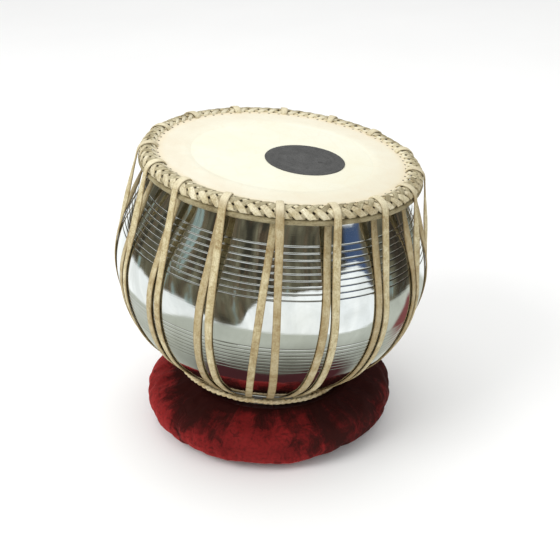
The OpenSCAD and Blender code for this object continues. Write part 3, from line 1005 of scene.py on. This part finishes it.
def lace_azimuth(place):
    """Degrees of a lacing place; places are closer together on the front half."""
    if place <= FRONT_LACES:
        return FIRST_AZIMUTH + place * FRONT_STEP
    if place >= LACES - FRONT_LACES:
        return FIRST_AZIMUTH + 360 - (LACES - place) * FRONT_STEP
    return (FIRST_AZIMUTH + FRONT_LACES * FRONT_STEP + (place - FRONT_LACES) * BACK_STEP)


def down_bowl():
    """The part of a leg that both kinds share, down to the bottom ring."""
    return [offset_run(FLANK, 0.08, 1, 26, THONG_LIFT),
            offset_run(BALL, 0.06, HOOK_AT + 0.006, 18, THONG_LIFT)]


def over_line(lift):
    """Profile of a leg that passes over the hoop, lifted a little more by lift."""
    start = np.array(HOOP_TOP[0]) + [-0.9 - THONG_LIFT * 0.6, 0.05 + lift * 0.3]
    return np.concatenate([[start + [0.1, -1.6]], [start],
                           offset_run(HOOP_TOP, 0.1, 1, 22, THONG_LIFT + lift),
                           offset_run(HOOP_SIDE, 0.15, 0.3, 3, THONG_LIFT + lift),
                           offset_run(NECK, 0.87, 1, 6, THONG_LIFT)] + down_bowl())


def under_line():
    """Profile of a leg that comes out from under the hoop."""
    start = [112.2 + THONG_LIFT * 0.93, -11.4 - THONG_LIFT * 0.1]
    return np.concatenate([[start], offset_run(NECK, 0.68, 1, 14, THONG_LIFT)] + down_bowl())


def leg_path(line, azimuth, slant, seed):
    """Centre line of a leg, its outward direction and the distance along it."""
    line, along = resample(line, 1.5)
    smooth = line.copy()
    smooth[1:-1] = 0.25 * line[:-2] + 0.5 * line[1:-1] + 0.25 * line[2:]
    outward = left_normal(np.gradient(smooth, axis=0))
    sway = 0.22 * smooth_noise(along, 55, seed) * np.clip(along / 20, 0, 1)
    path = np.stack([smooth[:, 0], sway, smooth[:, 1]], -1)
    normal = np.stack([outward[:, 0], np.zeros(len(line)), outward[:, 1]], -1)
    a, s = math.radians(azimuth), math.radians(slant)
    lean = np.array([[1, 0, 0],
                     [0, math.cos(s), -math.sin(s)],
                     [0, math.sin(s), math.cos(s)]])
    turn = np.array([[math.cos(a), -math.sin(a), 0],
                     [math.sin(a), math.cos(a), 0],
                     [0, 0, 1]])
    pivot = [0, 0, 100]     # the lean turns about a point this far below the head
    path = (path + pivot) @ lean.T - pivot
    return path @ turn.T, normal @ lean.T @ turn.T, along


def add_leg(parts, over, place, seed):
    station = lace_azimuth(place)
    front = place % LACES == 0      # the two legs at the very front cross further
    if over:
        line = over_line(0.4 * front)
        azimuth, slant = station + 1.5 + 1.46 * front, 1.75 + 1.77 * front
        free_from, free_length = 24, 80
    else:
        line = under_line()
        azimuth, slant = station - 2.6 - 0.87 * front, -1.2 - 1.06 * front
        free_from, free_length = 4, 60
    path, normal, along = leg_path(line, azimuth, slant, seed)
    half_width = (3.2 + 0.22 * smooth_noise(along, 34, seed + 50)
                  - 0.45 * np.exp(-((along[-1] - along) / 14) ** 2))
    if over:
        half_width = half_width - 1.0 * np.exp(-(along / 5.0) ** 2)
    twist = 0.035 * smooth_noise(along, 60, seed + 130) * np.clip(along / 30, 0, 1)
    # the legs at the sides turn a little towards the front where they hang free
    side = (station - 270 + 180) % 360 - 180
    much = min(max((abs(side) - 35) / 25, 0), 1) * min(max((130 - abs(side)) / 30, 0), 1)
    free = np.clip((along - free_from) / free_length, 0, 1)
    twist = twist + math.copysign(0.5, side) * much * np.sin(np.pi * free) ** 2
    # painted shade: the leg lying underneath at each crossing gets a low, darker tone
    tone, spread = (0.86, 0.12) if over != front else (0.34, 0.10)
    tone += spread * np.random.default_rng(seed).normal()
    parts.ribbon(path, normal, half_width,
                 half_thick=0.66 + 0.05 * smooth_noise(along, 20, seed + 90),
                 sides=14, power=3.6, tone=float(np.clip(tone, 0.0, 1.0)),
                 crown=0.10 * smooth_noise(along, 45, seed + 170), twist=twist,
                 shift=seed * 53.0)


def add_bight(parts, start, end, seed):
    """The bend under the bottom ring that joins two legs; start and end in degrees."""
    slope = bezier_slope(BALL, HOOK_AT)
    centre = offset(BALL, HOOK_AT, THONG_GAP) + left_normal(slope) * 2.6
    angle = np.radians(np.linspace(start - 1.2, end + 1.2, 40))
    share = (angle - angle[0]) / (angle[-1] - angle[0])
    sag = np.sin(np.pi * share) * 0.25
    down = unit(slope)
    half_width = (2.2 + 0.15 * smooth_noise(share * 40, 12, seed)
                  - 0.4 * np.abs(2 * share - 1) ** 3)
    parts.ribbon(polar(centre[0], angle, centre[1] - sag), polar(down[0], angle, down[1]),
                 half_width, half_thick=0.62, sides=12, power=3.0, tone=0.6)


for i in range(LACES):
    parts = Parts()
    add_leg(parts, True, i, 200 + i * 2)
    add_leg(parts, False, i + 1, 201 + i * 2)
    add_bight(parts, lace_azimuth(i) + 4.1, lace_azimuth(i + 1) - 4.1, 400 + i)
    finish(parts.make(f"thong_run_{i + 1:02d}"), STRAP, "drum",
           f"lace_run_{i + 1:02d}")


def make_knot():
    """The thong's end, wound twice round itself and tucked in, at the back."""
    parts = Parts()
    knot_at = 0.3       # share of BALL
    azimuth = math.radians((lace_azimuth(8) + lace_azimuth(9)) / 2)

    def into_drum(profile_vector):
        return polar(profile_vector[0], azimuth, profile_vector[1])

    slope = bezier_slope(BALL, knot_at)
    centre = into_drum(offset(BALL, knot_at, THONG_GAP + 3.4))
    outward = into_drum(left_normal(slope))
    down = into_drum(unit(slope))
    sideways = np.array([-math.sin(azimuth), math.cos(azimuth), 0])

    turn = np.linspace(0, 2 * TURN, 70)
    around = np.cos(turn)[:, None] * outward + np.sin(turn)[:, None] * down
    coil = centre + 1.9 * around + sideways * ((turn / turn[-1] - 0.5) * 3.6)[:, None]
    parts.ribbon(coil, around, 1.25, half_thick=0.55, sides=10, power=3.0, tone=0.5)

    line = offset_run(BALL, 0.2, knot_at, 12, THONG_GAP + 0.8)
    parts.ribbon(polar(line[:, 0], azimuth, line[:, 1]), np.tile(outward, (len(line), 1)),
                 np.linspace(2.4, 1.6, len(line)), half_thick=0.6, sides=12, power=3.2,
                 tone=0.7)

    share = np.linspace(0, 1, 22)
    tail = (centre + sideways * (1.5 + 6.5 * share)[:, None]
            + outward * (0.6 - 1.9 * share ** 1.5)[:, None]
            + down * (1.8 * share * share)[:, None])
    parts.ribbon(tail, np.tile(outward, (len(share), 1)), 1.5 - 0.6 * share,
                 half_thick=0.5, sides=10, power=3.0, tone=0.6)
    finish(parts.make("thong_end_knot"), STRAP, "drum", "lace_end_knot")


make_knot()


def make_ring():
    """Bottom ring: a two-ply cord, drawn up at each pair of legs and sagging between."""
    angle = np.arange(720) * TURN / 720
    centre = offset(BALL, RING_AT, THONG_GAP + THONG_THICK + 0.4 + 2.2)
    azimuths = np.array([lace_azimuth(i) for i in range(LACES + 1)])
    degrees = (np.degrees(angle) - FIRST_AZIMUTH) % 360 + FIRST_AZIMUTH
    phase = np.interp(degrees, azimuths, np.arange(LACES + 1)) * TURN
    centre_r = (centre[0] + 0.30 * np.cos(phase)
                + 0.12 * ring_noise(angle, [2, 3, 5, 8], seed=31, power=0.6))
    centre_z = (centre[1] + 0.45 * np.cos(phase)
                + 0.15 * ring_noise(angle, [2, 3, 5, 8, 13], seed=32, power=0.6) - 0.15)
    radii = [1.52 * (1 + 0.03 * ring_noise(angle, [9, 14, 27, 40], seed=seed, power=0.3))
             for seed in (33, 34)]
    ring = twisted_cord("bottom_ring_cord", angle, centre_r, centre_z, twists=46, swing=0.62,
                        radii=radii, sides=16, wind_radius=77, across=0.4, tone=0.85)
    finish(ring, RING, "drum", "bottom_ring")


make_ring()

# ---------------------------------------------------------------- cushion, world millimetres
cover_low, cover_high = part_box("cushion_cover")
CENTRE_X, CENTRE_Y = ((cover_low[i] + cover_high[i]) / 2 / MM for i in range(2))
TUBE_RADIUS = 79.4          # from the cushion's axis to the middle of its section
TUBE_HALF_WIDTH = 36.5
TUBE_MIDDLE = 21            # height of the middle of the section
CUSHION_HEIGHT = 46.0
FOOT = 0.7                  # height of the underside before the cloth is inflated
SLACK_OUT, SLACK_IN, SLACK_TOP = 3.2, 1.4, 1.6   # how much smaller the cover starts
SEAT_RADIUS = 131.2         # hollow the drum sits in, about the tilt joint
JOINT = TILT_JOINT / MM
CLOTH_FRAMES = 20
CLOTH = dict(
    quality=6, mass=0.25, tension_stiffness=22, compression_stiffness=14, shear_stiffness=6,
    bending_stiffness=0.35, tension_damping=8, compression_damping=8, use_pressure=True,
    uniform_pressure_force=4.0, shrink_min=-0.03, vertex_group_mass="pin")
MOST_MOVE = 4.2             # farthest the cloth may move a point


def cushion_outline():
    """Closed section, evenly spaced: the rounded top and sides, then the flat foot."""
    low, high = 24 - SLACK_OUT, CUSHION_HEIGHT - TUBE_MIDDLE - SLACK_TOP
    below = math.asin((TUBE_MIDDLE - FOOT) / low)
    angle = np.linspace(-below, math.pi + below, 66)
    lower_half = (angle < 0) | (angle > math.pi)
    z = TUBE_MIDDLE + np.where(lower_half, low, high) * np.sin(angle)
    share = np.clip((np.cos(angle) + 0.4) / 1.1, 0, 1)
    half_width = (TUBE_HALF_WIDTH - SLACK_IN
                  - (SLACK_OUT - SLACK_IN) * share * share * (3 - 2 * share))
    upper = np.stack([TUBE_RADIUS + half_width * np.cos(angle), np.maximum(z, FOOT)], -1)
    foot = np.stack([np.linspace(upper[-1, 0], upper[0, 0], 14)[1:-1], np.full(12, FOOT)], -1)
    loop, _ = resample(np.concatenate([upper, foot, upper[:1]]), 3.1)
    return loop[:-1]


def about_axis(points):
    """Angle and radius about the cushion's axis."""
    x, y = points[:, 0] - CENTRE_X, points[:, 1] - CENTRE_Y
    return np.arctan2(y, x), np.hypot(x, y)


def press_in(points, seat, floor=0.0):
    """Keeps the cushion outside the drum's seat and above the floor."""
    away = points - JOINT
    distance = np.linalg.norm(away, axis=1)
    inside = distance < seat
    points = points.copy()
    points[inside] = JOINT + away[inside] / distance[inside, None] * seat
    points[:, 2] = np.maximum(points[:, 2], floor)
    return points


def gathered_ring():
    """The cover before inflation, its cloth gathered towards the hole and the foot."""
    points, quads, tris, _ = lathe(cushion_outline(), 190, closed=True)
    points = points + np.array([CENTRE_X, CENTRE_Y, 0])
    angle, radius = about_axis(points)
    z = points[:, 2]
    top = np.clip((z - 8) / 30, 0, 1)
    outward = unit(polar(radius - TUBE_RADIUS, angle, z - TUBE_MIDDLE), least=1e-6)
    phase = 1.1 * ring_noise(angle, [2, 3, 5, 7], seed=60, power=0.8)
    lobes = (0.55 * np.cos(9 * angle + phase) + 0.35 * np.cos(17 * angle + 1.7 * phase)
             + 0.12 * np.cos(29 * angle - phase))
    skew = 0.35 * np.cos(13 * angle + z / 9) + 0.25 * np.cos(23 * angle - z / 7 + 1.0)
    fade = np.clip((z - 3) / 12, 0.1, 1)
    gather = (lobes * (0.35 + 0.65 * (1 - top)) * fade + skew) * 0.34
    return press_in(points + outward * gather[:, None], SEAT_RADIUS + 0.7, FOOT), quads, tris


def inflate(cover, start):
    """Inflates the cover as cloth pinned at the seat and the foot; returns its points."""
    pinned = ((np.linalg.norm(start - JOINT, axis=1) < SEAT_RADIUS + 2.0)
              | (start[:, 2] < FOOT + 0.3))
    group = cover.vertex_groups.new(name="pin")
    group.add([int(i) for i in np.nonzero(pinned)[0]], 1.0, "REPLACE")
    cloth = cover.modifiers.new("Cloth", "CLOTH")
    for name, value in CLOTH.items():
        setattr(cloth.settings, name, value)
    cloth.settings.effector_weights.gravity = 0.0
    cloth.collision_settings.use_collision = False
    cloth.point_cache.frame_start = 1
    cloth.point_cache.frame_end = CLOTH_FRAMES
    scene = bpy.context.scene
    for step in range(1, CLOTH_FRAMES + 1):
        scene.frame_set(step)
    depsgraph = bpy.context.evaluated_depsgraph_get()
    inflated = points_in_mm(cover.evaluated_get(depsgraph).data)
    cover.modifiers.remove(cloth)
    scene.frame_set(1)
    move = inflated - start
    length = np.linalg.norm(move, axis=1)
    limit = np.where(length > MOST_MOVE, MOST_MOVE / np.maximum(length, 1e-9), 1.0)
    return start + move * limit[:, None]


def subdivide(cover):
    """Replaces the cover's mesh by one level of subdivision and returns it."""
    subdivision = cover.modifiers.new("sub", "SUBSURF")
    subdivision.levels = subdivision.render_levels = 1
    depsgraph = bpy.context.evaluated_depsgraph_get()
    mesh = bpy.data.meshes.new_from_object(cover.evaluated_get(depsgraph))
    cover.modifiers.clear()
    cover.data = mesh
    mesh.name = "cushion_velvet_cover"
    return mesh


def crumple(mesh):
    """Fine crumples, a sewn seam and colour attributes. Returns the points."""
    points = points_in_mm(mesh)
    angle, radius = about_axis(points)
    around = np.arctan2(points[:, 2] - TUBE_MIDDLE, radius - TUBE_RADIUS)
    small = (0.22 * np.cos(41 * angle + 3 * around + 2 * np.cos(5 * angle))
             + 0.18 * np.cos(57 * angle - 4 * around + 2 * np.sin(7 * angle))
             + 0.15 * np.cos(73 * angle + 7 * around))
    outward = polar(np.cos(around), angle, np.sin(around))
    from_seat = np.linalg.norm(points - JOINT, axis=1) - SEAT_RADIUS
    free = np.clip((from_seat - 0.6) / 4, 0, 1) * np.clip((points[:, 2] - 0.5) / 4, 0, 1)
    fade = np.clip((points[:, 2] - 4) / 14, 0.15, 1)
    points = points + outward * (small * free * fade * 0.8)[:, None]
    # a shallow channel under the outer edge
    seam = np.exp(-((around + 0.62) / 0.035) ** 2) * free
    points = press_in(points - outward * (seam * 0.9)[:, None], SEAT_RADIUS + 0.2)
    set_points(mesh, points * MM)
    # tone runs from 0 deep in a fold to 1 on a crest; where it is low the velvet gets painted
    # shade
    reach = np.hypot((radius - TUBE_RADIUS) / TUBE_HALF_WIDTH,
                     (points[:, 2] - TUBE_MIDDLE) / 25)
    set_attributes(mesh, {"tone": np.clip((reach - 0.90) / 0.16, 0, 1),
                          "loc": (points - [CENTRE_X, CENTRE_Y, 0]) * MM})
    shade_smooth(mesh)
    mesh.update()
    return points


def make_cushion():
    """The velvet cover and the wadding inside it. Returns the cover's points."""
    points, quads, tris = gathered_ring()
    cover = build("cushion_velvet_cover", points * MM, quads, tris)
    points = inflate(cover, points)
    points = press_in(points, SEAT_RADIUS + 0.25)
    set_points(cover.data, points * MM)
    cover.vertex_groups.clear()
    cover.data.update()
    normals = np.zeros(len(points) * 3)
    cover.data.vertex_normals.foreach_get("vector", normals)
    inner = points - normals.reshape(-1, 3) * 2.8
    wadding = build("cushion_wadding_fill", inner * MM, quads, tris)
    finish(wadding, WADDING, "cushion", "cushion_wadding")
    points = crumple(subdivide(cover))
    finish(cover, VELVET, "cushion", "cushion_cover")
    return points


def make_stitches(cover_points, count=36):
    """Closing stitches on the wall of the hole, each a short curved thread."""
    parts = Parts()
    angle, radius = about_axis(cover_points)
    wall = (np.abs(cover_points[:, 2] - TUBE_MIDDLE) < 4) & (radius < TUBE_RADIUS)
    for i in range(count):
        middle = i * TURN / count
        aside = np.abs((angle - middle + math.pi) % TURN - math.pi)
        nearby = radius[wall & (aside < 0.08)]
        wall_radius = (nearby.min() if len(nearby) else 43.0) - 0.25
        share = np.linspace(-1, 1, 15)
        turn = middle + share * 2.4 / wall_radius
        path = polar(wall_radius + 0.9 * np.abs(share) ** 3, turn, TUBE_MIDDLE + 1.1 * share)
        path = path + [CENTRE_X, CENTRE_Y, 0]
        parts.ribbon(path, polar(-1, turn, 0.0), 0.42, half_thick=0.34, sides=8, power=2.2,
                     tone=0.6)
    stitches = parts.make("cushion_stitches", place=lambda points: points * MM)
    finish(stitches, THREAD, "cushion", "cushion_closing_stitches")


make_stitches(make_cushion())

# ---------------------------------------------------------------- hidden pieces, CAD shape kept
for node, material, slot in (("cushion_core_coil", COIL, "cotton_rope"),
                             ("inner_skin_ring", inner_goatskin(), "goatskin")):
    piece = frame["nodes"][node]
    piece.data.materials.clear()
    piece.data.materials.append(material)

# ---------------------------------------------------------------- floor
FLOOR_HALF = 6.0


def make_floor():
    material = pale_floor()
    mesh = bpy.data.meshes.new("floor")
    signs = ((-1, -1), (1, -1), (1, 1), (-1, 1))
    mesh.from_pydata([(x * FLOOR_HALF, y * FLOOR_HALF, 0) for x, y in signs],
                     [], [(0, 1, 2, 3)])
    floor = bpy.data.objects.new("floor", mesh)
    bpy.context.scene.collection.objects.link(floor)
    mesh.materials.append(material)
    floor.visible_glossy = False


make_floor()

# ---------------------------------------------------------------- surroundings
# far and near edges of the pale sheet round the drum: (turn, height), degrees
SHEET_FAR = (
    (0, -20), (30, -20), (45, -15), (60, -12), (95, -10), (140, -9), (180, -8), (208, -9),
    (226, -20), (242, -24), (254, -4), (268, 6), (290, 8), (318, 8), (331, 10), (346, -8),
    (352, -13), (357, -20), (360, -20))
SHEET_NEAR = (
    (0, -18.5), (30, -18.5), (45, -22), (60, -26), (130, -27), (180, -29), (208, -25),
    (226, -23), (242, -25), (264, -28), (290, -32), (320, -35), (345, -34), (350, -31),
    (357, -18.5), (360, -18.5))


def make_world():
    """Soft even light; mirrors see a darker room with a pale sheet, so plate reads as metal."""
    world = bpy.data.worlds.new("studio")
    bpy.context.scene.world = world
    world.use_nodes = True
    w = Shader(world.node_tree)
    output = w.node("ShaderNodeOutputWorld")
    x, y, z = w.xyz(w.node("ShaderNodeTexCoord").outputs["Generated"])
    azimuth = w.math("ARCTAN2", y, x)
    height = w.math("ARCSINE", z)       # radians above the horizon
    turn = w.math("FRACT", w.math("DIVIDE", azimuth, TURN))
    cos, sin = w.math("COSINE", azimuth), w.math("SINE", azimuth)

    def edge_height(table):
        """Height, in radians, of an edge that runs round the room."""
        node = w.node("ShaderNodeFloatCurve", {"Value": turn})
        curve = node.mapping.curves[0]
        for k, (degrees, level) in enumerate(table):
            place = degrees / 360, (level + 60) / 120
            if k < 2:
                curve.points[k].location = place
            else:
                curve.points.new(*place)
        node.mapping.update()
        return w.math("RADIANS", w.sub(w.mul(node.outputs[0], 120.0), 60.0))

    def streaks(around, up, **noise):
        """Noise with its own frequency round the room and up it."""
        return w.noise(w.vector(w.mul(cos, around), w.mul(sin, around), w.mul(height, up)),
                       scale=1.0, **noise)

    ragged = streaks(7.0, 4.0, detail=4.0, rough=0.6, distort=0.3)
    ragged = w.mul(w.sub(ragged, 0.5), 0.10)
    broad = streaks(5.0, 1.1, detail=3.0, rough=0.6, distort=0.5)
    narrow = streaks(16.0, 2.4, detail=3.0, rough=0.62, distort=0.3)
    fringe = streaks(60.0, 3.0, detail=2.0, rough=0.6)
    blue = w.tent(azimuth, centre=-0.42, half_width=0.16)
    shade = w.tent(azimuth, centre=0.29, half_width=0.20)
    dark_room = w.coats(
        (0.052, 0.048, 0.034, 1),
        ((0.29, 0.265, 0.175, 1), broad, (0.40, 0.60)),
        ((0.15, 0.095, 0.055, 1), narrow, (0.50, 0.64), (0, 0.85)),
        ((0.30, 0.26, 0.18, 1), narrow, (0.60, 0.70), (0, 0.8)),
        ((0.42, 0.55, 0.53, 1), broad, (0.60, 0.64)),
        ((0.02, 0.022, 0.02, 1), fringe, (0.45, 0.7), (0, 0.45)),
        ((0.075, 0.13, 0.27, 1), blue, (0.0, 0.35), (0, 0.9)),
        ((0.030, 0.024, 0.020, 1), shade, (0.0, 0.5), (0, 0.72)))

    # pale ground, dark red straight below and a red cloth on one side
    pale = w.coats((0.69, 0.72, 0.64, 1), ((0.79, 0.82, 0.73, 1), ragged, (-0.02, 0.03)))
    below = w.mul(w.remap(w.add(y, w.mul(ragged, 0.5)), (-0.165, -0.13)),
                  w.remap(z, (-0.86, -0.92)))
    cloth = w.mul(w.remap(w.tent(azimuth, centre=0.63, half_width=0.22), (0.0, 0.25)),
                  w.mul(w.remap(height, (-0.78, -0.70)), w.remap(height, (-0.40, -0.46))))
    ground = w.coats(
        (0.17, 0.17, 0.14, 1),
        (pale, height, (-1.22, -0.72)),
        ((0.085, 0.026, 0.030, 1), below),
        ((0.26, 0.040, 0.045, 1), w.mul(cloth, 0.92)))

    sheet = w.coats((1.50, 1.53, 1.53, 1), ((1.30, 1.34, 1.35, 1), broad, (0.35, 0.6)))
    above_near = w.sub(height, w.add(edge_height(SHEET_NEAR), w.mul(ragged, 0.3)))
    above_far = w.sub(height, w.add(edge_height(SHEET_FAR), ragged))
    mirrored = w.coats(
        ground,
        (sheet, above_near, (-0.012, 0.012)),
        (dark_room, above_far, (-0.015, 0.02)),
        ((0.95, 0.98, 0.98, 1), height, (0.62, 0.95)))
    soft = w.coats((0.92, 0.93, 0.95, 1), ((1.0, 1.0, 1.0, 1), z, (-0.2, 0.9)))
    glossy = w.node("ShaderNodeLightPath").outputs["Is Glossy Ray"]
    background = w.node("ShaderNodeBackground", {"Color": w.mix(glossy, soft, mirrored),
                                                 "Strength": 0.85})
    w.tree.links.new(background.outputs[0], output.inputs[0])


make_world()

# ---------------------------------------------------------------- lights
LIGHTS = (
    # name, place, target, size (metres), power (watts)
    ("key", (-1.2, -0.8, 1.4), (0, 0, 0.12), (0.9, 0.9), 16),
    ("fill", (1.3, -1.2, 0.9), (0, 0, 0.12), (1.2, 1.0), 2),
    ("top", (0.0, 0.4, 1.8), (0, 0, 0.2), (1.4, 1.4), 8),
)
for name, place, target, size, power in LIGHTS:
    light = bpy.data.lights.new(name, "AREA")
    light.shape = "RECTANGLE"
    light.size, light.size_y = size
    light.energy = power
    lamp = bpy.data.objects.new(name, light)
    bpy.context.scene.collection.objects.link(lamp)
    lamp.location = place
    toward = Vector(target) - Vector(place)
    lamp.rotation_euler = toward.to_track_quat("-Z", "Y").to_euler()
    lamp.visible_glossy = False

# ---------------------------------------------------------------- camera
CAMERA_ELEVATION = math.radians(28.9084)
CAMERA_ROLL = math.radians(1.2223)
CAMERA_TARGET = Vector((-4.15, 0, 106)) * MM
CAMERA_DISTANCE = 0.9619


def make_camera():
    lens = bpy.data.cameras.new("camera")
    lens.sensor_width = 36
    lens.lens = 67.842643
    lens.shift_x = 0.02214107
    lens.shift_y = 0.04375143
    lens.clip_start, lens.clip_end = 0.01, 50
    camera = bpy.data.objects.new("camera", lens)
    bpy.context.scene.collection.objects.link(camera)
    back = Vector((0, -math.cos(CAMERA_ELEVATION), math.sin(CAMERA_ELEVATION)))
    camera.location = CAMERA_TARGET + back * CAMERA_DISTANCE
    aim = (-back).to_track_quat("-Z", "Y").to_matrix()
    camera.rotation_euler = (aim @ Matrix.Rotation(-CAMERA_ROLL, 3, "Z")).to_euler()
    bpy.context.scene.camera = camera
    bpy.context.scene.view_settings.view_transform = "Standard"


make_camera()
